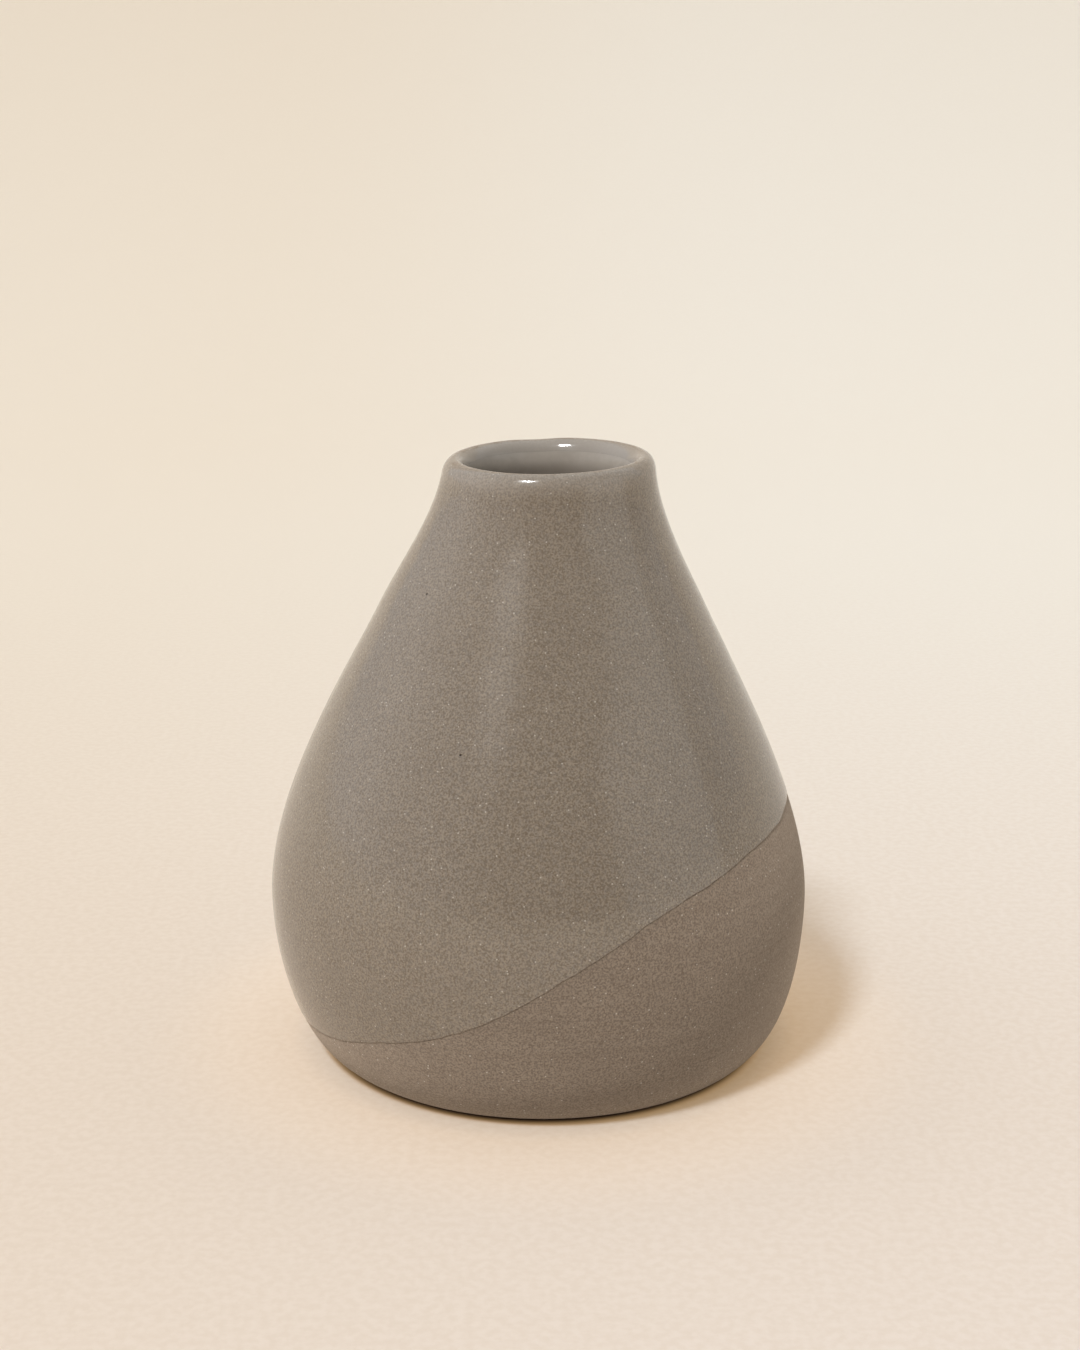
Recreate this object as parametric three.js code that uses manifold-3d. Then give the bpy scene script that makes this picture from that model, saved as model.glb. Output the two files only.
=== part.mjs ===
// Thrown stoneware bud vase: a hollow pear-shaped clay body, a glaze coat dipped at a slant and a
// poured liner coat. Millimetres, +Z up, standing on z = 0 with its axis on the origin.
import * as THREE from 'three';
import { mergeVertices } from 'three/addons/utils/BufferGeometryUtils.js';
import Module from 'manifold-3d';

const wasm = await Module();
wasm.setup();

// Outside of the clay body
const HEIGHT = 89.7; // table to the crest of the bare lip
const FOOT_RADIUS = 31.9; // edge of the flat that it stands on
const FOOT_FLARE = 10.4; // degrees by which the wall leaves the table
const BELLY_RADIUS = 40.5; // widest ring
const BELLY_HEIGHT = 23.6; // table to the widest ring
const SHOULDER_RADIUS = 23.9; // ring where the bulging wall turns hollow
const NECK_HEIGHT = 22; // that ring up to the crest of the lip
const SHOULDER_LEAN = 25.7; // degrees that the wall leans inwards there
const NECK_LEAN = 1; // degrees that it still leans inwards at the lip

// Inside of the clay body
const MOUTH_RADIUS = 13; // clear opening within the bare lip
const LIP_THICKNESS = 2.6; // rounded over its full thickness
const SHOULDER_WALL = 3.2;
const BELLY_WALL = 3.8;
const FLOOR_THICKNESS = 4.6; // over the hollow of the underside
const FLOOR_RADIUS = 25; // flat middle of the floor, before it sweeps up into the wall

// Turned underside
const RING_WIDTH = 5.2; // standing ring at the edge of the foot
const RECESS_DEPTH = 1; // hollow within the ring
const RECESS_SLOPE = 2.4; // width of the slope between the two

// Glaze coats
const GLAZE_THICKNESS = 0.25; // dipped coat on the outside
const LINER_THICKNESS = 0.22; // poured coat on the inside
const BOND = 0.05; // clearance between a coat and whatever it lies on or meets

// Glaze line: an S that climbs steeply across the front and levels off towards both ends
const DIP_LEVEL = 22.8; // height of its middle
const DIP_SLOPE = 31.3; // degrees of climb there
const DIP_SWING = 20; // rise from the middle to where the climb would end
const DIP_TURN = -1; // degrees from +X to the side where it is highest
const DIP_CLEARANCE = 2; // least height above the table, as waxed before dipping

// How far each curve runs straight on from its two ends, as shares of the distance between them
const FOOT_PULLS = [0.247, 0.35];
const BELLY_PULLS = [0.306, 0.22];
const NECK_PULLS = [0.272, 0.29];
const FLOOR_PULLS = [0.42, 0.5];

// Facets
const SEGMENTS = 48;
const OUTER_STEPS = [7, 8, 7];
const INNER_STEPS = [5, 7, 5];
const LIP_STEPS = 6;
const DIP_STEPS = 32;

// Working margins
const CUT_MARGIN = 10; // by which a cutting block reaches past what it cuts
const WELD = 1e-4; // distance within which vertices of a mesh are one

const radians = THREE.MathUtils.degToRad;
const heading = (degrees) => new THREE.Vector2(Math.cos(radians(degrees)), Math.sin(radians(degrees)));
const leftOf = (direction) => new THREE.Vector2(-direction.y, direction.x);
const station = (point, angle) => ({ point, direction: heading(angle) });

// Points of a smooth wall through its stations, each with its direction and the side that faces the air
function wallOutline(stations, pulls, steps, airSide) {
  const outline = [];
  pulls.forEach(([leave, arrive], i) => {
    const from = stations[i];
    const to = stations[i + 1];
    const span = from.point.distanceTo(to.point);
    const curve = new THREE.CubicBezierCurve(
      from.point,
      from.point.clone().addScaledVector(from.direction, leave * span),
      to.point.clone().addScaledVector(to.direction, -arrive * span),
      to.point,
    );
    for (let k = i === 0 ? 0 : 1; k <= steps[i]; k++) {
      const t = k / steps[i];
      const direction = curve.getTangent(t);
      outline.push({ point: curve.getPoint(t), direction, air: leftOf(direction).multiplyScalar(airSide) });
    }
  });
  return outline;
}

// Stations shared by both faces of the wall
const floorHeight = RECESS_DEPTH + FLOOR_THICKNESS;
const shoulder = new THREE.Vector2(SHOULDER_RADIUS, HEIGHT - NECK_HEIGHT);
const shoulderAngle = 90 + SHOULDER_LEAN;
const neckAngle = 90 + NECK_LEAN;
const lipCentre = new THREE.Vector2(MOUTH_RADIUS + LIP_THICKNESS / 2, HEIGHT - LIP_THICKNESS / 2);
const lipPoint = (angle) => lipCentre.clone().addScaledVector(heading(angle), LIP_THICKNESS / 2);

// Outer face from the foot to the lip, the round of the lip, and the inner face from the floor to the lip
const outerFace = wallOutline(
  [
    station(new THREE.Vector2(FOOT_RADIUS, 0), FOOT_FLARE),
    station(new THREE.Vector2(BELLY_RADIUS, BELLY_HEIGHT), 90),
    station(shoulder, shoulderAngle),
    station(lipPoint(NECK_LEAN), neckAngle),
  ],
  [FOOT_PULLS, BELLY_PULLS, NECK_PULLS],
  OUTER_STEPS,
  -1,
);
const lipRound = [];
for (let k = 1; k <= LIP_STEPS; k++) {
  const angle = NECK_LEAN + (180 * k) / LIP_STEPS;
  lipRound.push({ point: lipPoint(angle), direction: heading(angle + 90), air: heading(angle) });
}
const innerFace = wallOutline(
  [
    station(new THREE.Vector2(FLOOR_RADIUS, floorHeight), 0),
    station(new THREE.Vector2(BELLY_RADIUS - BELLY_WALL, BELLY_HEIGHT), 90),
    station(shoulder.clone().addScaledVector(leftOf(heading(shoulderAngle)), SHOULDER_WALL), shoulderAngle),
    station(lipPoint(NECK_LEAN + 180), neckAngle),
  ],
  [FLOOR_PULLS, BELLY_PULLS, NECK_PULLS],
  INNER_STEPS,
  1,
);

const points = (outline) => outline.map(({ point }) => point);
const lifted = (outline, rise) => outline.map(({ point, air }) => point.clone().addScaledVector(air, rise));
const revolve = (profile) => new THREE.LatheGeometry(profile, SEGMENTS).rotateX(Math.PI / 2);

// Closed triangle mesh to solid and back
function solidOf(geometry) {
  geometry.deleteAttribute('normal');
  geometry.deleteAttribute('uv');
  const merged = mergeVertices(geometry, WELD);
  const mesh = new wasm.Mesh({
    numProp: 3,
    vertProperties: new Float32Array(merged.attributes.position.array),
    triVerts: new Uint32Array(merged.index.array),
  });
  return new wasm.Manifold(mesh);
}

function geometryOf(solid) {
  const mesh = solid.getMesh();
  const geometry = new THREE.BufferGeometry();
  geometry.setAttribute('position', new THREE.BufferAttribute(mesh.vertProperties, 3));
  geometry.setIndex(new THREE.BufferAttribute(mesh.triVerts, 1));
  geometry.computeVertexNormals();
  return geometry;
}

// Clay body: underside, outer face, lip, inner face and floor in one revolved outline
function clayBody() {
  const ringInside = FOOT_RADIUS - RING_WIDTH;
  return revolve([
    new THREE.Vector2(0, RECESS_DEPTH),
    new THREE.Vector2(ringInside - RECESS_SLOPE, RECESS_DEPTH),
    new THREE.Vector2(ringInside, 0),
    ...points(outerFace),
    ...points(lipRound),
    ...points(innerFace).reverse().slice(1),
    new THREE.Vector2(0, floorHeight),
  ]);
}

// Everything below the glaze line: the S as the top edge of a block that reaches past the belly
function belowGlazeLine() {
  const reach = BELLY_RADIUS + CUT_MARGIN;
  const climb = Math.tan(radians(DIP_SLOPE));
  const shape = new THREE.Shape().moveTo(reach, -CUT_MARGIN);
  for (let k = 0; k <= DIP_STEPS; k++) {
    const across = reach - (2 * reach * k) / DIP_STEPS;
    const line = DIP_LEVEL + DIP_SWING * Math.tanh((climb * across) / DIP_SWING);
    shape.lineTo(across, Math.max(line, DIP_CLEARANCE));
  }
  shape.lineTo(-reach, -CUT_MARGIN);
  const block = new THREE.ExtrudeGeometry(shape, { depth: 2 * reach, bevelEnabled: false });
  return block.translate(0, 0, -reach).rotateX(Math.PI / 2).rotateZ(radians(DIP_TURN));
}

// Dipped coat: a skin over the outer face and the lip, trimmed along the glaze line
function outerGlaze() {
  const covered = [...outerFace, ...lipRound];
  const under = lifted(covered, BOND);
  const over = lifted(covered, BOND + GLAZE_THICKNESS);
  const skin = revolve([...over, ...under.reverse(), over[0]]);
  return geometryOf(solidOf(skin).subtract(solidOf(belowGlazeLine())));
}

// Poured coat: a skin over the floor and the inner face, stopping short of the dipped coat at the mouth
function linerGlaze() {
  const top = innerFace[innerFace.length - 1];
  const end = { ...top, point: top.point.clone().addScaledVector(top.direction, -BOND) };
  const covered = [...innerFace.slice(0, -1), end];
  const under = lifted(covered, BOND);
  const over = lifted(covered, BOND + LINER_THICKNESS);
  return revolve([
    new THREE.Vector2(0, floorHeight + BOND),
    ...under,
    ...over.reverse(),
    new THREE.Vector2(0, floorHeight + BOND + LINER_THICKNESS),
  ]);
}

const stoneware = new THREE.MeshStandardMaterial({ color: 0x7d6c5c, roughness: 0.9, metalness: 0 });
const satinGlaze = new THREE.MeshStandardMaterial({ color: 0x857769, roughness: 0.38, metalness: 0 });
const linerFinish = new THREE.MeshStandardMaterial({ color: 0x877e75, roughness: 0.42, metalness: 0 });

function piece(name, geometry, material) {
  const mesh = new THREE.Mesh(geometry, material);
  mesh.name = name;
  return mesh;
}

const vase = new THREE.Group();
vase.name = 'bud_vase';
vase.add(
  piece('clay_body', clayBody(), stoneware),
  piece('outer_glaze', outerGlaze(), satinGlaze),
  piece('liner_glaze', linerGlaze(), linerFinish),
);

export default vase;
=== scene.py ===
"""A thrown stoneware bud vase: clay turned on the wheel, then dipped at a slant and lined with glaze."""
import math

import bpy
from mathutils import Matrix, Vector


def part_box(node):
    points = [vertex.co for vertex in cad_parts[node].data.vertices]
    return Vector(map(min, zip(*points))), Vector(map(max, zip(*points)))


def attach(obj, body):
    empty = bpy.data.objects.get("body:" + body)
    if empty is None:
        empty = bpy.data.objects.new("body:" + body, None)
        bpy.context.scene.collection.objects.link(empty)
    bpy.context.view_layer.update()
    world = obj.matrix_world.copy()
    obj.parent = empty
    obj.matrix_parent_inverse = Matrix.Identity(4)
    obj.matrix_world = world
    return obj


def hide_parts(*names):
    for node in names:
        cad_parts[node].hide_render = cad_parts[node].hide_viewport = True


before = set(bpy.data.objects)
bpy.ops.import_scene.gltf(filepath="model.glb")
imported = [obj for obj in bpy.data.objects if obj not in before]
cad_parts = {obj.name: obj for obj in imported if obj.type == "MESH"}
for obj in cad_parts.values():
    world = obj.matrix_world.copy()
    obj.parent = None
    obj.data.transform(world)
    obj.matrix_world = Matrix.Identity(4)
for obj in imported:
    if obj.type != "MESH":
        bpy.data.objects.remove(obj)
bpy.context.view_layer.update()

# The pot is shaped in millimetres and brought down to metres when it is done
MM = 0.001

# Outside of the clay
_, clay_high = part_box("clay_body")
CLAY_FULLNESS = 0.16  # the fired clay fills most of the clearance that the solids keep under the glaze
CREST_FULLNESS = 0.24  # and stands a little fuller at the crest of the lip
HEIGHT = clay_high.z / MM + CREST_FULLNESS
BELLY_RADIUS = clay_high.x / MM + CLAY_FULLNESS
BELLY_HEIGHT = 23.6
FOOT_RADIUS = 31.9
FOOT_FLARE = 10.4  # degrees by which the wall leaves the table
SHOULDER_RADIUS = 24.06
SHOULDER_HEIGHT = 67.8
SHOULDER_LEAN = 25.7  # degrees that the wall leans inwards there

# Rounded lip, as half an egg on end: the wall meets it part of the way up on either side
LIP_RADIUS = 13.88  # axis to the crest
LIP_OUTER_WIDTH = 1.68
LIP_INNER_WIDTH = 1.95
LIP_OUTER_DROP = 2.6
LIP_INNER_DROP = 3.2
LIP_OUTER_START = 12  # degrees round the egg
LIP_INNER_END = 150

# Inside and underside of the clay
THROAT_RADIUS = 11.95
THROAT_HEIGHT = 83.5
SHOULDER_WALL = 3.2
BELLY_WALL = 3.8
FLOOR_HEIGHT = 5.6
FLOOR_RADIUS = 25
RING_WIDTH = 5.2
RING_EDGE = 0.35
RING_EASE = 0.08  # by which the inner edge of the ring is eased off the table
RECESS_DEPTH = 1
RECESS_SLOPE = 2.4
RECESS_TURN = 2  # width over which the hollow turns into its slope
RECESS_EASE = 0.05  # drop over that width

# How far each curve of the wall runs straight on from its ends, as shares of the distance between them
FOOT_PULLS = (0.247, 0.35)
BELLY_PULLS = (0.306, 0.22)
NECK_PULLS = (0.29, 0.315)
THROAT_PULLS = (0.3, 0.35)
MOUTH_PULLS = (0.35, 0.35)
FLOOR_PULLS = (0.42, 0.5)

# Wheel
WHEEL_STEPS = 192
FOOT_STEPS = 22
BELLY_STEPS = 30
NECK_STEPS = 22
LIP_STEPS = 16
INSIDE_STEPS = 18
WELD = 0.001
SMOOTH_ANGLE = 40  # degrees, above which an edge stays sharp

# Drift of the axis that the hands left, to the right and by height from the foot to the lip
DRIFT = (0.45, -0.02, -0.24, -0.22, 0.05, 0.48, 1.38)
CAGE_CORNERS = 4  # to each level of the cage that carries the drift
RIM_TILT = 1.5  # degrees that the right of the rim stands high
RIM_TIP = 0.5  # degrees that the back of it stands high
RIM_GATHER = 3  # power by which the tilt gathers towards the rim
RIM_DENT = 0.18
RIM_DENT_REACH = 5
RIM_DENT_SIDE = 98  # degrees round the rim

# Glaze
GLAZE_STEP = 0.085  # thickness of the fired coats
GLAZE_SEAT = 0.01  # clearance under them
FACES_OUT = 0.1  # least share of a face's normal that points away from the axis, on the outside
FLOOR_MARGIN = 0.5  # below the floor, where the inside is told from the underside
DIP_LEVEL = 22.8
DIP_SLOPE = 31.3
DIP_SWING = 20
DIP_TURN = -1
DIP_CLEARANCE = 2
DIP_REACH = 55
DIP_COLUMNS = 220
DIP_ROWS = 110
DIP_DEPTH = 70
DIP_WAVERS = ((14, 0.5), (5, 0.7), (2.2, 0.3))  # length and swing of each
DIP_LIFTS = ((-22, 8, 0.6), (-2, 9, -0.5))  # where the hand shook: place across, reach and rise of each

# Grain that clay and glaze share. Patches: size, detail, and the marks of the noise between which they turn.
# Specks: spacing, radius, and the share of places that hold one.
FINE_GRAIN = (0.28, 1.0, 0.28, 0.72)
GREY_PATCHES = (0.45, 1.0, 0.35, 0.7)
GREY_SHARE = 0.25
DARK_CLOUDS = (7, 3.0, 0.3, 0.7)
CLOUD_SHARE = 0.12
DARK_FLECKS = (0.6, 0.16, 0.2)
FLECK_SHARE = 0.4
FLECK_COLOUR = (98, 85, 73)
# Bright specks: pale specks in the body. On the glaze they are partly painted glints
BRIGHT_SPECKS = (0.75, 0.15, 0.2)
BRIGHT_SHARE = 0.75
SPECK_CORE = 0.5  # share of a speck's radius that has its full colour

# Bare clay. Reliefs: size, detail and height.
CLAY_COLOURS = ((126, 109, 94), (169, 151, 132), (145, 133, 120), (226, 216, 202))  # dark, pale, cool, spark
CLAY_ROUGHNESS = 0.85
CLAY_SHINE = 0.3
CLAY_SOFTNESS = 1.0
CLAY_BLOOM = 0.34
CLAY_BLOOM_ROUGHNESS = 0.6
CLAY_BLOOM_COLOUR = (215, 196, 176)
RING_STRETCH = (0.015, 0.015, 1)  # draws the patches out into rings
TURNED_RINGS = (1.1, 2.0, 0.35, 0.65)
TURNED_SHARE = 0.14
TURNED_COLOUR = (122, 104, 87)
TURNED_HEIGHT = 0.006
SCRAPED_RINGS = (0.5, 1.0, 0.66, 0.74)
SCRAPED_SHARE = 0.2
SCRAPED_COLOUR = (96, 80, 66)
GROG_RELIEF = (0.35, 3.0, 0.02)

# Satin glaze. Fades: from and to where, and the share at either end.
GLAZE_COLOURS = ((120, 106, 91), (155, 141, 124), (134, 129, 124), (202, 192, 179))  # dark, pale, cool, and bright specks that are partly painted glints
COAT_ROUGHNESS = 0.2
COAT_SHINE = 0.5
# Painted light: the glaze is made paler up the neck, as if more light fell on the upper wall
NECK_LIGHT_FADE = (48, 84, 0.0, 0.06)
NECK_LIGHT_COLOUR = (168, 155, 140)
PINHOLES = (5.5, 0.26, 0.35)
PINHOLE_COLOUR = (62, 51, 42)
PINHOLE_HEIGHT = -0.08
# Painted light from above: a pale band over the top of the lip, which also hides the grain there
LIP_LIGHT_FADE = (1.0, 3.8, 0.18, 0.0)
LIP_LIGHT_COLOUR = (203, 194, 183)
LIP_INSIDE_FADE = (LIP_RADIUS - 1.4, LIP_RADIUS, 0.85, 0.0)
LIP_INSIDE_COLOUR = (172, 162, 151)
CREST_FADE = (0.05, 0.3, 0.32, 0.0)
WORN_PATCHES = (3.0, 3.0, 0.5, 0.62)
WORN_COLOUR = (124, 102, 82)
DULL_PATCHES = (1.4, 2.0, 0.3, 0.7)
DULL_ROUGHNESS = (0.11, 0.18)
WAVY_RELIEF = (5, 2.0, 0.09)
FINE_RELIEF = (0.35, 2.0, 0.004)

# Liner glaze
LINER_CLOUDS = (2.5, 3.0, 0.3, 0.7)
LINER_COLOURS = ((182, 171, 158), (192, 181, 168))
LINER_RIM_FADE = (1.0, 3.0, 0.5, 0.0)
# Painted shade inside the mouth: darker from a few millimetres below the crest, easing off further down
LINER_SHADE_FADE = (2.8, 5.2, 0.0, 0.5)
LINER_SHADE_EASE_FADE = (8, 20, 1.0, 0.3)
LINER_SHADE_COLOUR = (110, 96, 83)
LINER_RELIEF = (3, 2.0, 0.03)

# Camera
CAMERA_PLACE = (0, -323.55, 150.57)
CAMERA_HEIGHT = 56.72  # where its line of sight meets the axis
CAMERA_NEAR = 10
LENS = 60
SENSOR = 36

# Paper that it stands on, which curves up behind it
SWEEP_LEFT = -800
SWEEP_RIGHT = 1630
SWEEP_FRONT = -1100
SWEEP_BACK = 500
SWEEP_CURVE = 500
SWEEP_RISE = 600
SWEEP_STEPS = 24
PAPER_ROUGHNESS = 0.9
PAPER_SHINE = 0.2
PAPER_COLOUR = (243, 232, 218)  # as it lights the pot
PAPER_NEAR_COLOUR = (192, 195, 198)  # as it looks in front of the pot, before its painted warm glow
# Painted light: the paper is made paler and cooler from in front of the pot towards the back
PAPER_FAR_COLOUR = (198, 208, 211)
PAPER_BACK_LIGHT_FADE = (-100, 360, 0.0, 1.0)
PAPER_LEFT_FADE = (-150, 120, 0.25, 0.0)
PAPER_LEFT_COLOUR = (186, 172, 150)
PAPER_TOOTH = (1.3, 3.0, 0.3, 0.7)
PAPER_TOOTH_FADE = (0, 400, 0.17, 0.02)
PAPER_TOOTH_COLOUR = (150, 145, 138)
# Painted light: a warm glow that the paper gives off to the eye
PAPER_GLOW_COLOUR = (153, 121, 78)
# Painted shadow on the paper right round the foot
UNDER_FOOT_SHADE_FADE = (33, 35, 0.9, 0.0)
UNDER_FOOT_SHADE_COLOUR = (116, 84, 58)
# Shares of the painted glow by distance from the foot: none under it, most beside it, less further out
GLOW_CLEAR_OF_FOOT_FADE = (32.5, 34.4, 0.0, 1.0)
GLOW_BESIDE_FOOT_FADE = (34.5, 40, 0.9, 1.17)
GLOW_AROUND_FOOT_FADE = (44, 64, 1.0, 0.85)

# Key light, by its side and height in degrees
KEY_SIDE = 235.6
KEY_HEIGHT = 55.8
KEY_STRENGTH = 1.76
KEY_SOFTNESS = 9

# White card that brightens the right of the pot
CARD_SIDE = 331
CARD_HEIGHT = 21
CARD_DISTANCE = 600
CARD_WIDTH = 534
CARD_TALL = 346
CARD_GLOW = 0.6
CARD_SPREAD = 150  # degrees
CARD_TINT = (0.93, 0.98, 1.0)

# Pale walls of the room: the sines of the heights between which they fade into its glows
PALE_BAND = (0.04, 0.13)
PALE_WALLS = (236, 224, 207)

# Glows of the room, each with its side and height in degrees, how tightly it gathers, and its light
ROOM_GLOWS = (
    (150, 10, 5, (0.55, 0.57, 0.6)),
    (195, 10, 5, (0.5, 0.51, 0.53)),
    (10, 10, 5, (0.12, 0.12, 0.12)),
    (50, 15, 5, (0.45, 0.46, 0.47)),
    (355, 50, 5, (0.24, 0.25, 0.25)),
    (90, 50, 5, (0.55, 0.57, 0.59)),
    (180, 65, 8, (0.23, 0.24, 0.25)),
    (300, 62, 8, (0.04, 0.04, 0.04)),
    (240, 42, 900, (1.0, 1.0, 1.0)),
)

# Sockets of a Mix node that mixes colours: the amount, the two colours, and the result
MIX_SOCKETS = (0, 6, 7)
MIX_RESULT = 2


def heading(degrees):
    return Vector((math.cos(math.radians(degrees)), math.sin(math.radians(degrees))))


def sweep_of_wall(start, leaving, end, arriving, pulls, steps):
    """Points of a smooth wall between two rings, given as radius and height, without the first."""
    span = (end - start).length
    leave = start + heading(leaving) * pulls[0] * span
    arrive = end - heading(arriving) * pulls[1] * span
    points = []
    for k in range(1, steps + 1):
        t = k / steps
        s = 1 - t
        points.append(s ** 3 * start + 3 * s * s * t * leave + 3 * s * t * t * arrive + t ** 3 * end)
    return points


def round_of_lip(turn):
    """A place on the egg that rounds the lip, and how far the wall leans there."""
    width = LIP_OUTER_WIDTH if turn < 90 else LIP_INNER_WIDTH
    drop = LIP_OUTER_DROP if turn < 90 else LIP_INNER_DROP
    across = math.cos(math.radians(turn))
    rise = math.sin(math.radians(turn))
    place = Vector((LIP_RADIUS + width * across, HEIGHT - drop * (1 - rise)))
    return place, math.degrees(math.atan2(width * rise, drop * across))


def rim_lift(right, back):
    """How far the tilt of the rim raises a place on it."""
    return right * math.tan(math.radians(RIM_TILT)) + back * math.tan(math.radians(RIM_TIP))


def pot_outline():
    """Half section of the pot: from the middle of the underside round the foot, wall and lip to the floor."""
    foot = Vector((FOOT_RADIUS, 0))
    belly = Vector((BELLY_RADIUS, BELLY_HEIGHT))
    shoulder = Vector((SHOULDER_RADIUS, SHOULDER_HEIGHT))
    lean = 90 + SHOULDER_LEAN
    lip_outer, outer_facing = round_of_lip(LIP_OUTER_START)
    lip_inner, inner_facing = round_of_lip(LIP_INNER_END)
    ring_inside = FOOT_RADIUS - RING_WIDTH
    floor_edge = Vector((FLOOR_RADIUS, FLOOR_HEIGHT))
    belly_in = Vector((BELLY_RADIUS - BELLY_WALL, BELLY_HEIGHT))
    shoulder_in = shoulder + heading(lean + 90) * SHOULDER_WALL
    throat = Vector((THROAT_RADIUS, THROAT_HEIGHT))
    underside = [
        Vector((0, RECESS_DEPTH)),
        Vector((ring_inside - RECESS_SLOPE - RECESS_TURN, RECESS_DEPTH)),
        Vector((ring_inside - RECESS_SLOPE, RECESS_DEPTH - RECESS_EASE)),
        Vector((ring_inside - RECESS_SLOPE / 2, RECESS_DEPTH / 2)),
        Vector((ring_inside - RING_EDGE, RING_EASE)),
        Vector((ring_inside + RING_EDGE, 0)),
        foot - Vector((RING_EDGE, 0)),
        foot,
    ]
    outside = sweep_of_wall(foot, FOOT_FLARE, belly, 90, FOOT_PULLS, FOOT_STEPS)
    outside += sweep_of_wall(belly, 90, shoulder, lean, BELLY_PULLS, BELLY_STEPS)
    outside += sweep_of_wall(shoulder, lean, lip_outer, 90 + outer_facing, NECK_PULLS, NECK_STEPS)
    over_lip = []
    for k in range(1, LIP_STEPS):
        turn = LIP_OUTER_START + (LIP_INNER_END - LIP_OUTER_START) * k / LIP_STEPS
        over_lip.append(round_of_lip(turn)[0])
    inside = [Vector((0, FLOOR_HEIGHT)), Vector((FLOOR_RADIUS / 2, FLOOR_HEIGHT)), floor_edge]
    inside += sweep_of_wall(floor_edge, 0, belly_in, 90, FLOOR_PULLS, INSIDE_STEPS)
    inside += sweep_of_wall(belly_in, 90, shoulder_in, lean, BELLY_PULLS, INSIDE_STEPS)
    inside += sweep_of_wall(shoulder_in, lean, throat, 90, THROAT_PULLS, INSIDE_STEPS)
    inside += sweep_of_wall(throat, 90, lip_inner, inner_facing - 90, MOUTH_PULLS, LIP_STEPS)
    return underside + outside + over_lip + inside[::-1]


def deselect_all():
    bpy.ops.object.select_all(action="DESELECT")


def take_up(piece):
    """Makes one object the only one that the next operator works on."""
    deselect_all()
    piece.select_set(True)
    bpy.context.view_layer.objects.active = piece


def name_new(name):
    piece = bpy.context.object
    piece.name = name
    piece.data.name = name
    return piece


def select_none(kind):
    """Leaves all of the mesh in hand unselected, so that code can select some of it by its place."""
    bpy.ops.object.mode_set(mode="EDIT")
    bpy.ops.mesh.select_mode(type=kind)
    bpy.ops.mesh.select_all(action="DESELECT")
    bpy.ops.object.mode_set(mode="OBJECT")


def draw_line(points):
    """A vertex drawn out along the points, left selected in edit mode."""
    deselect_all()
    bpy.ops.mesh.primitive_plane_add(size=1, enter_editmode=True)
    bpy.ops.mesh.select_mode(type="VERT")
    bpy.ops.mesh.merge(type="CENTER")
    bpy.ops.transform.translate(value=points[0])
    for here, there in zip(points, points[1:]):
        bpy.ops.mesh.extrude_region_move(TRANSFORM_OT_translate={"value": there - here})
    bpy.ops.mesh.select_all(action="SELECT")


def turn_faces_out():
    """Ends edit mode with every face pointing outwards."""
    bpy.ops.mesh.select_all(action="SELECT")
    bpy.ops.mesh.normals_make_consistent(inside=False)
    bpy.ops.object.mode_set(mode="OBJECT")


def turn_on_wheel(name, outline):
    """The outline spun about the axis."""
    draw_line([Vector((point.x, 0, point.y)) for point in outline])
    bpy.ops.mesh.spin(steps=WHEEL_STEPS, angle=math.tau, center=(0, 0, 0), axis=(0, 0, 1))
    bpy.ops.mesh.select_all(action="SELECT")
    bpy.ops.mesh.remove_doubles(threshold=WELD)
    turn_faces_out()
    return name_new(name)


def lean_as_thrown(pot):
    """Carries the rings sideways by their drift and tips the rim, with a cage round the pot."""
    deselect_all()
    bpy.ops.object.add(type="LATTICE", location=(0, 0, HEIGHT / 2))
    cage = name_new("throwing_cage")
    width = 2 * BELLY_RADIUS
    cage.scale = (width, width, HEIGHT)
    cage.data.points_w = len(DRIFT)
    cage.data.interpolation_type_w = "KEY_CARDINAL"
    top = len(DRIFT) - 1
    for i, corner in enumerate(cage.data.points):
        level = i // CAGE_CORNERS
        spot = corner.co * width
        lift = rim_lift(spot.x, spot.y) * (level / top) ** RIM_GATHER / HEIGHT
        corner.co_deform = corner.co + Vector((DRIFT[level] / width, 0, lift))
    take_up(pot)
    pot.modifiers.new("drift", "LATTICE").object = cage
    bpy.ops.object.modifier_apply(modifier="drift")
    bpy.data.objects.remove(cage)


def press_rim(pot):
    """A shallow press of a thumb in the back of the rim."""
    side = heading(RIM_DENT_SIDE) * LIP_RADIUS
    spot = Vector((DRIFT[-1] + side.x, side.y, HEIGHT))
    take_up(pot)
    select_none("VERT")
    nearest = min(pot.data.vertices, key=lambda vertex: (vertex.co - spot).length)
    nearest.select = True
    bpy.ops.object.mode_set(mode="EDIT")
    bpy.ops.transform.translate(
        value=(0, 0, -RIM_DENT),
        use_proportional_edit=True,
        proportional_edit_falloff="SMOOTH",
        proportional_size=RIM_DENT_REACH,
    )
    bpy.ops.object.mode_set(mode="OBJECT")


def outward(spot, normal):
    return (spot.x * normal.x + spot.y * normal.y) / max(math.hypot(spot.x, spot.y), WELD)


def takes_dip(face):
    """Outside of the wall and the whole round of the lip."""
    inner_edge = round_of_lip(LIP_INNER_END)[0].y
    if face.center.z > inner_edge + rim_lift(face.center.x, face.center.y):
        return True
    return outward(face.center, face.normal) > FACES_OUT


def takes_liner(face):
    """Floor and inside of the wall."""
    if takes_dip(face):
        return False
    return face.center.z > FLOOR_HEIGHT - FLOOR_MARGIN


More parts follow.
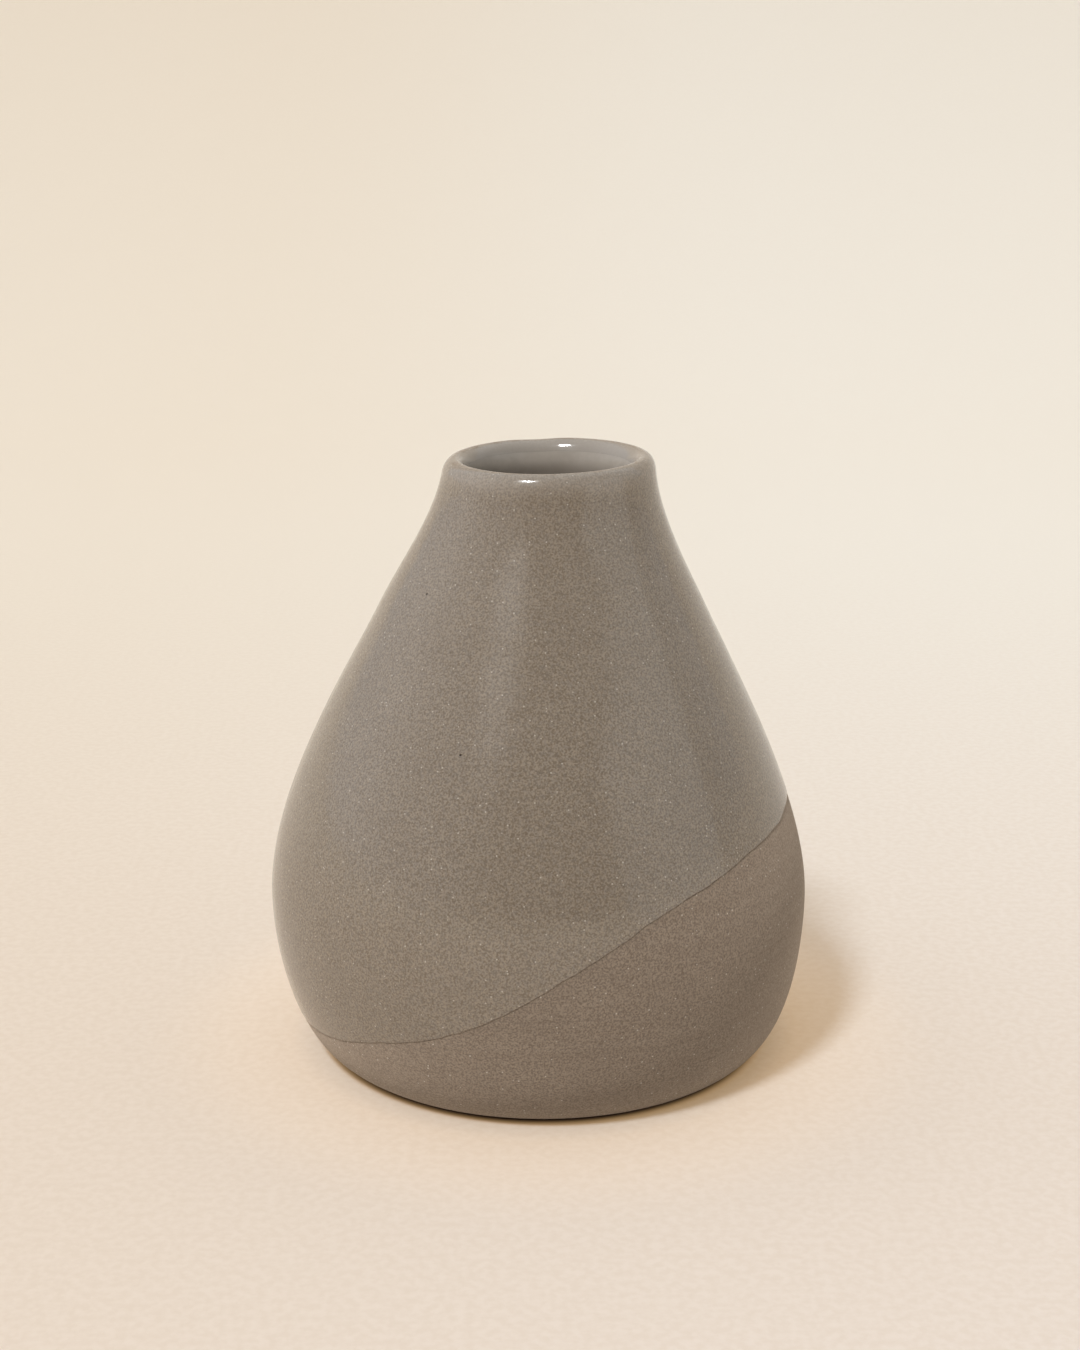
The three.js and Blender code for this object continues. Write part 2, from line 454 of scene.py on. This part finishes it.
def coat_over(clay, name, takes_it):
    """A skin lifted off the clay where it takes the glaze, with the thickness of the fired coat."""
    take_up(clay)
    bpy.ops.object.duplicate()
    coat = name_new(name)
    select_none("FACE")
    for face in coat.data.polygons:
        face.select = not takes_it(face)
    bpy.ops.object.mode_set(mode="EDIT")
    bpy.ops.mesh.delete(type="FACE")
    bpy.ops.mesh.select_all(action="SELECT")
    bpy.ops.transform.shrink_fatten(value=GLAZE_SEAT)
    bpy.ops.object.mode_set(mode="OBJECT")
    thickness = coat.modifiers.new("thickness", "SOLIDIFY")
    thickness.thickness = GLAZE_STEP
    thickness.offset = 1
    bpy.ops.object.modifier_apply(modifier="thickness")
    return coat


def dip_outline():
    """The S of the glaze line from left to right, with its lifts, at the near edge of the sheet."""
    climb = math.tan(math.radians(DIP_SLOPE))
    spacing = 2 * DIP_REACH / DIP_COLUMNS
    outline = []
    for column in range(DIP_COLUMNS + 1):
        across = column * spacing - DIP_REACH
        line = DIP_LEVEL + DIP_SWING * math.tanh(climb * across / DIP_SWING)
        for middle, reach, rise in DIP_LIFTS:
            line += rise * math.exp(-((across - middle) / reach) ** 2)
        outline.append(Vector((across, -DIP_REACH, max(line, DIP_CLEARANCE))))
    return outline


def waxed_below_line():
    """Everything that the dip left bare: the S drawn out to a sheet, made wavering, drawn down to a block."""
    draw_line(dip_outline())
    row = (0, 2 * DIP_REACH / DIP_ROWS, 0)
    for _ in range(DIP_ROWS):
        bpy.ops.mesh.extrude_region_move(TRANSFORM_OT_translate={"value": row})
    bpy.ops.mesh.select_all(action="SELECT")
    bpy.ops.transform.rotate(
        value=-math.radians(DIP_TURN), orient_axis="Z", center_override=(0, 0, 0)
    )
    bpy.ops.object.mode_set(mode="OBJECT")
    block = name_new("waxed_below_line")
    for length, swing in DIP_WAVERS:
        clouds = bpy.data.textures.new("waver", "CLOUDS")
        clouds.noise_scale = length
        waver = block.modifiers.new("waver", "DISPLACE")
        waver.texture = clouds
        waver.direction = "Z"
        waver.strength = swing
        bpy.ops.object.modifier_apply(modifier=waver.name)
    bpy.ops.object.mode_set(mode="EDIT")
    bpy.ops.mesh.select_all(action="SELECT")
    bpy.ops.mesh.extrude_region_move(TRANSFORM_OT_translate={"value": (0, 0, -DIP_DEPTH)})
    turn_faces_out()
    return block


def wipe_off(coat, block):
    """Takes the glaze away inside the block."""
    take_up(coat)
    cut = coat.modifiers.new("glaze_line", "BOOLEAN")
    cut.operation = "DIFFERENCE"
    cut.solver = "EXACT"
    cut.object = block
    bpy.ops.object.modifier_apply(modifier="glaze_line")
    bpy.data.objects.remove(block)


def bring_to_size(piece):
    """Millimetres to metres, and smooth faces but for sharp edges."""
    take_up(piece)
    piece.scale = (MM, MM, MM)
    bpy.ops.object.transform_apply(location=False, rotation=False, scale=True)
    bpy.ops.object.shade_smooth_by_angle(angle=math.radians(SMOOTH_ANGLE))


def seen(red, green, blue):
    """A colour as the eye reads it, 0 to 255, for a shader's socket."""
    return tuple(((c / 255 + 0.055) / 1.055) ** 2.4 for c in (red, green, blue)) + (1,)


def add_node(tree, kind, inputs=None, **settings):
    node = tree.nodes.new(kind)
    for key, value in settings.items():
        setattr(node, key, value)
    for key, value in (inputs or {}).items():
        if isinstance(value, bpy.types.NodeSocket):
            tree.links.new(value, node.inputs[key])
        else:
            node.inputs[key].default_value = value
    return node


def new_finish(name, roughness, shine):
    material = bpy.data.materials.new(name)
    material.use_nodes = True
    tree = material.node_tree
    shader = tree.nodes["Principled BSDF"]
    shader.inputs["Roughness"].default_value = roughness
    shader.inputs["Specular IOR Level"].default_value = shine
    place = add_node(tree, "ShaderNodeTexCoord").outputs["Object"]
    return material, tree, shader, place


def reckon(tree, operation, first, second):
    return add_node(tree, "ShaderNodeMath", {0: first, 1: second}, operation=operation).outputs["Value"]


def times(tree, first, second):
    return reckon(tree, "MULTIPLY", first, second)


def plus(tree, first, second):
    return reckon(tree, "ADD", first, second)


def share_between(tree, value, low, high, to_low=0.0, to_high=1.0):
    node = add_node(
        tree,
        "ShaderNodeMapRange",
        {"Value": value, "From Min": low, "From Max": high, "To Min": to_low, "To Max": to_high},
        interpolation_type="SMOOTHSTEP",
    )
    return node.outputs["Result"]


def fade_along(tree, length, start, end, to_start, to_end):
    """A share that changes along a length, between two marks in millimetres."""
    return share_between(tree, length, start * MM, end * MM, to_start, to_end)


def parts_of(tree, vector):
    return add_node(tree, "ShaderNodeSeparateXYZ", {"Vector": vector}).outputs


def distance_from(tree, place, spot):
    """How far a place lies from a spot that is given in millimetres."""
    spot = [c * MM for c in spot]
    return add_node(tree, "ShaderNodeVectorMath", {0: place, 1: spot}, operation="DISTANCE").outputs["Value"]


def depth_below_crest(tree, place):
    """How far a place lies below the crest of the lip, which tips with the rim."""
    spot = parts_of(tree, place)
    crest = (HEIGHT + GLAZE_SEAT + GLAZE_STEP) * MM
    tipped = plus(tree, times(tree, spot["X"], rim_lift(1, 0)), times(tree, spot["Y"], rim_lift(0, 1)))
    return reckon(tree, "SUBTRACT", plus(tree, tipped, crest), spot["Z"])


def grain_of(tree, place, size, detail):
    inputs = {"Vector": place, "Scale": 1 / (size * MM), "Detail": detail}
    return add_node(tree, "ShaderNodeTexNoise", inputs).outputs["Fac"]


def patches_of(tree, place, size, detail, low, high, to_low=0.0, to_high=1.0):
    """Soft patches: one value where the noise is under its low mark, the other where it is over the high."""
    return share_between(tree, grain_of(tree, place, size, detail), low, high, to_low, to_high)


def relief_of(tree, place, size, detail, height):
    return times(tree, grain_of(tree, place, size, detail), height)


def specks_of(tree, place, spacing, radius, share):
    """Round specks, one to a cell of the spacing, kept in a share of the cells."""
    cells = add_node(tree, "ShaderNodeTexVoronoi", {"Vector": place, "Scale": 1 / (spacing * MM)})
    chance = add_node(tree, "ShaderNodeSeparateColor", {"Color": cells.outputs["Color"]}).outputs["Red"]
    kept = reckon(tree, "LESS_THAN", chance, share)
    reach = radius / spacing
    spot = share_between(tree, cells.outputs["Distance"], reach * SPECK_CORE, reach, 1.0, 0.0)
    return times(tree, spot, kept)


def tint(tree, amount, colour, other):
    """A colour with an amount of another laid over it."""
    inputs = dict(zip(MIX_SOCKETS, (amount, colour, other)))
    return add_node(tree, "ShaderNodeMix", inputs, data_type="RGBA").outputs[MIX_RESULT]


def speckled(tree, place, dark, pale, cool, pale_speck_and_glint):
    """Grain of stoneware: pale on dark, greyer here and there, with dark flecks and a few bright specks,
    which on the glaze are partly painted glints.
    """
    ground = tint(tree, patches_of(tree, place, *FINE_GRAIN), seen(*dark), seen(*pale))
    grey = times(tree, patches_of(tree, place, *GREY_PATCHES), GREY_SHARE)
    ground = tint(tree, grey, ground, seen(*cool))
    cloud = times(tree, patches_of(tree, place, *DARK_CLOUDS), CLOUD_SHARE)
    ground = tint(tree, cloud, ground, seen(*dark))
    flecks = times(tree, specks_of(tree, place, *DARK_FLECKS), FLECK_SHARE)
    ground = tint(tree, flecks, ground, seen(*FLECK_COLOUR))
    bright = times(tree, specks_of(tree, place, *BRIGHT_SPECKS), BRIGHT_SHARE)
    return tint(tree, bright, ground, seen(*pale_speck_and_glint))


def bumped(tree, shader, height):
    """Relief from a height in millimetres."""
    bump = add_node(tree, "ShaderNodeBump", {"Height": height, "Distance": MM, "Strength": 1.0})
    tree.links.new(bump.outputs["Normal"], shader.inputs["Normal"])


def bare_clay():
    """Matt fired clay with its grog, and the faint rings that the turning tool left."""
    material, tree, shader, place = new_finish("bare_stoneware", CLAY_ROUGHNESS, CLAY_SHINE)
    colour = speckled(tree, place, *CLAY_COLOURS)
    rings = add_node(tree, "ShaderNodeMapping", {"Vector": place, "Scale": RING_STRETCH}).outputs["Vector"]
    turned = patches_of(tree, rings, *TURNED_RINGS)
    colour = tint(tree, times(tree, turned, TURNED_SHARE), colour, seen(*TURNED_COLOUR))
    scraped = times(tree, patches_of(tree, rings, *SCRAPED_RINGS), SCRAPED_SHARE)
    colour = tint(tree, scraped, colour, seen(*SCRAPED_COLOUR))
    tree.links.new(colour, shader.inputs["Base Color"])
    shader.inputs["Diffuse Roughness"].default_value = CLAY_SOFTNESS
    shader.inputs["Sheen Weight"].default_value = CLAY_BLOOM
    shader.inputs["Sheen Roughness"].default_value = CLAY_BLOOM_ROUGHNESS
    shader.inputs["Sheen Tint"].default_value = seen(*CLAY_BLOOM_COLOUR)
    grog = relief_of(tree, place, *GROG_RELIEF)
    bumped(tree, shader, plus(tree, grog, times(tree, turned, TURNED_HEIGHT)))
    return material


def satin_glaze():
    """Satin glaze, a little wavy, with pinholes: paler up the neck, and pale grey and smooth over the lip,
    both painted light from above, worn brown on its crest.
    """
    material, tree, shader, place = new_finish("satin_glaze", COAT_ROUGHNESS, COAT_SHINE)
    colour = speckled(tree, place, *GLAZE_COLOURS)
    # painted light: paler towards the top of the wall
    painted_neck_light = fade_along(tree, parts_of(tree, place)["Z"], *NECK_LIGHT_FADE)
    colour = tint(tree, painted_neck_light, colour, seen(*NECK_LIGHT_COLOUR))
    pinholes = specks_of(tree, place, *PINHOLES)
    colour = tint(tree, pinholes, colour, seen(*PINHOLE_COLOUR))
    below_crest = depth_below_crest(tree, place)
    # painted light from above over the lip
    colour = tint(tree, fade_along(tree, below_crest, *LIP_LIGHT_FADE), colour, seen(*LIP_LIGHT_COLOUR))
    reach = distance_from(tree, place, (DRIFT[-1], 0, HEIGHT))
    colour = tint(tree, fade_along(tree, reach, *LIP_INSIDE_FADE), colour, seen(*LIP_INSIDE_COLOUR))
    worn = times(tree, fade_along(tree, below_crest, *CREST_FADE), patches_of(tree, place, *WORN_PATCHES))
    colour = tint(tree, worn, colour, seen(*WORN_COLOUR))
    tree.links.new(colour, shader.inputs["Base Color"])
    dull = patches_of(tree, place, *DULL_PATCHES, *DULL_ROUGHNESS)
    tree.links.new(dull, shader.inputs["Roughness"])
    waves = plus(tree, relief_of(tree, place, *WAVY_RELIEF), relief_of(tree, place, *FINE_RELIEF))
    bumped(tree, shader, plus(tree, waves, times(tree, pinholes, PINHOLE_HEIGHT)))
    return material


def liner_glaze():
    """Smooth pale glaze that clouds a little, like the lip's inside at the rim, with painted shade from a few
    millimetres below the crest that eases off further down.
    """
    material, tree, shader, place = new_finish("liner_glaze", COAT_ROUGHNESS, COAT_SHINE)
    paler, palest = LINER_COLOURS
    colour = tint(tree, patches_of(tree, place, *LINER_CLOUDS), seen(*paler), seen(*palest))
    below_crest = depth_below_crest(tree, place)
    colour = tint(tree, fade_along(tree, below_crest, *LINER_RIM_FADE), colour, seen(*LIP_INSIDE_COLOUR))
    # painted shade below the rim of the mouth
    painted_shade = fade_along(tree, below_crest, *LINER_SHADE_FADE)
    painted_shade = times(tree, painted_shade, fade_along(tree, below_crest, *LINER_SHADE_EASE_FADE))
    colour = tint(tree, painted_shade, colour, seen(*LINER_SHADE_COLOUR))
    tree.links.new(colour, shader.inputs["Base Color"])
    bumped(tree, shader, relief_of(tree, place, *LINER_RELIEF))
    return material


def looked_at(tree):
    """1 for the rays that show a surface to the eye: straight, mirrored or through glass."""
    path = add_node(tree, "ShaderNodeLightPath").outputs
    mirrored = plus(tree, path["Is Camera Ray"], path["Is Glossy Ray"])
    return plus(tree, mirrored, path["Is Transmission Ray"])


def paper():
    """Cream paper with a faint tooth. To the eye it has a painted warm glow, none under the foot and most
    beside it, painted light that makes it paler and cooler towards the back, and a painted shadow under the
    pot.
    """
    material, tree, shader, place = new_finish("cream_paper", PAPER_ROUGHNESS, PAPER_SHINE)
    material.cycles.emission_sampling = "NONE"
    viewed = looked_at(tree)
    spot = parts_of(tree, place)
    # painted light: paler and cooler towards the back
    away = fade_along(tree, spot["Y"], *PAPER_BACK_LIGHT_FADE)
    face = tint(tree, away, seen(*PAPER_NEAR_COLOUR), seen(*PAPER_FAR_COLOUR))
    face = tint(tree, fade_along(tree, spot["X"], *PAPER_LEFT_FADE), face, seen(*PAPER_LEFT_COLOUR))
    tooth = patches_of(tree, place, *PAPER_TOOTH)
    tooth = times(tree, tooth, fade_along(tree, spot["Y"], *PAPER_TOOTH_FADE))
    face = tint(tree, tooth, face, seen(*PAPER_TOOTH_COLOUR))
    reach = distance_from(tree, place, (DRIFT[0], 0, 0))
    # painted shadow under the foot
    face = tint(tree, fade_along(tree, reach, *UNDER_FOOT_SHADE_FADE), face, seen(*UNDER_FOOT_SHADE_COLOUR))
    tree.links.new(tint(tree, viewed, seen(*PAPER_COLOUR), face), shader.inputs["Base Color"])
    # painted light: a warm glow to the eye, shaped by distance from the foot
    shader.inputs["Emission Color"].default_value = seen(*PAPER_GLOW_COLOUR)
    glow = viewed
    for fade in (GLOW_CLEAR_OF_FOOT_FADE, GLOW_BESIDE_FOOT_FADE, GLOW_AROUND_FOOT_FADE):
        glow = times(tree, glow, fade_along(tree, reach, *fade))
    tree.links.new(glow, shader.inputs["Emission Strength"])
    return material


def paper_sweep():
    """Floor that curves up into the backdrop."""
    deselect_all()
    middle = Vector((SWEEP_LEFT + SWEEP_RIGHT, SWEEP_FRONT + SWEEP_BACK, 0)) / 2
    width = SWEEP_RIGHT - SWEEP_LEFT
    depth = SWEEP_BACK - SWEEP_FRONT
    bpy.ops.mesh.primitive_plane_add(size=1, location=middle * MM, enter_editmode=True)
    bpy.ops.transform.resize(value=(width * MM, depth * MM, 1))
    sweep = name_new("paper_sweep")
    select_none("EDGE")
    for edge in sweep.data.edges:
        ends = [sweep.data.vertices[i].co.y for i in edge.vertices]
        edge.select = min(ends) > 0
    bpy.ops.object.mode_set(mode="EDIT")
    bpy.ops.mesh.spin(
        steps=SWEEP_STEPS,
        angle=math.radians(90),
        center=(0, SWEEP_BACK * MM, SWEEP_CURVE * MM),
        axis=(-1, 0, 0),
    )
    bpy.ops.mesh.extrude_region_move(TRANSFORM_OT_translate={"value": (0, 0, SWEEP_RISE * MM)})
    turn_faces_out()
    bpy.ops.object.transform_apply(location=True, rotation=True, scale=True)
    bpy.ops.object.shade_smooth()
    sweep.data.materials.append(paper())


def toward(side, height):
    flat = heading(side) * math.cos(math.radians(height))
    return Vector((flat.x, flat.y, math.sin(math.radians(height))))


def aim(lamp, direction, distance):
    lamp.location = direction * distance
    lamp.rotation_euler = direction.to_track_quat("Z", "Y").to_euler()


def light_it():
    """Key light from the front left, and the card on the right, whose glow holds straight ahead of it."""
    bpy.ops.object.light_add(type="SUN")
    key = name_new("key_light")
    key.data.energy = KEY_STRENGTH
    key.data.angle = math.radians(KEY_SOFTNESS)
    aim(key, toward(KEY_SIDE, KEY_HEIGHT), 1)
    bpy.ops.object.light_add(type="AREA")
    card = name_new("white_card")
    card.data.shape = "RECTANGLE"
    card.data.size = CARD_WIDTH * MM
    card.data.size_y = CARD_TALL * MM
    card.data.color = CARD_TINT
    card.data.spread = math.radians(CARD_SPREAD)
    half = card.data.spread / 2
    gathered = math.tan(half) / (math.tan(half) - half)
    card.data.energy = CARD_GLOW * math.pi * card.data.size * card.data.size_y / gathered
    card.visible_camera = False
    aim(card, toward(CARD_SIDE, CARD_HEIGHT), CARD_DISTANCE * MM)


def add_light(tree, first, second):
    return add_node(tree, "ShaderNodeVectorMath", {0: first, 1: second}, operation="ADD").outputs["Vector"]


def light_room():
    """Soft light of the room: a glow on each side and overhead, and little from behind the camera."""
    world = bpy.data.worlds.new("room")
    bpy.context.scene.world = world
    world.use_nodes = True
    tree = world.node_tree
    direction = add_node(tree, "ShaderNodeTexCoord").outputs["Generated"]
    light = None
    for side, height, focus, glow in ROOM_GLOWS:
        centre = toward(side, height)
        facing = add_node(tree, "ShaderNodeVectorMath", {0: direction, 1: centre}, operation="DOT_PRODUCT")
        facing = share_between(tree, facing.outputs["Value"], 0.0, 1.0)
        facing = reckon(tree, "POWER", facing, focus)
        part = add_node(tree, "ShaderNodeVectorMath", {0: glow, "Scale": facing}, operation="SCALE")
        part = part.outputs["Vector"]
        light = add_light(tree, light, part) if light else part
    low = share_between(tree, parts_of(tree, direction)["Z"], *PALE_BAND, 1.0, 0.0)
    light = tint(tree, times(tree, low, looked_at(tree)), light, seen(*PALE_WALLS))
    tree.links.new(light, tree.nodes["Background"].inputs["Color"])


def place_camera():
    bpy.ops.object.camera_add(location=[c * MM for c in CAMERA_PLACE])
    camera = name_new("camera")
    sight = Vector((0, 0, CAMERA_HEIGHT)) - Vector(CAMERA_PLACE)
    camera.rotation_euler = sight.to_track_quat("-Z", "Y").to_euler()
    camera.data.lens = LENS
    camera.data.sensor_width = SENSOR
    camera.data.clip_start = CAMERA_NEAR * MM
    bpy.context.scene.camera = camera


clay = turn_on_wheel("thrown_clay", pot_outline())
lean_as_thrown(clay)
press_rim(clay)
dipped = coat_over(clay, "dipped_glaze", takes_dip)
wipe_off(dipped, waxed_below_line())
lined = coat_over(clay, "poured_liner", takes_liner)
for piece, finish, node, slot in (
    (clay, bare_clay(), "clay_body", "stoneware"),
    (dipped, satin_glaze(), "outer_glaze", "satin_glaze"),
    (lined, liner_glaze(), "liner_glaze", "liner_glaze"),
):
    bring_to_size(piece)
    piece.data.materials.clear()
    piece.data.materials.append(finish)
    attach(piece, "root")
    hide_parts(node)

paper_sweep()
light_it()
light_room()
place_camera()
bpy.context.scene.view_settings.view_transform = "Standard"
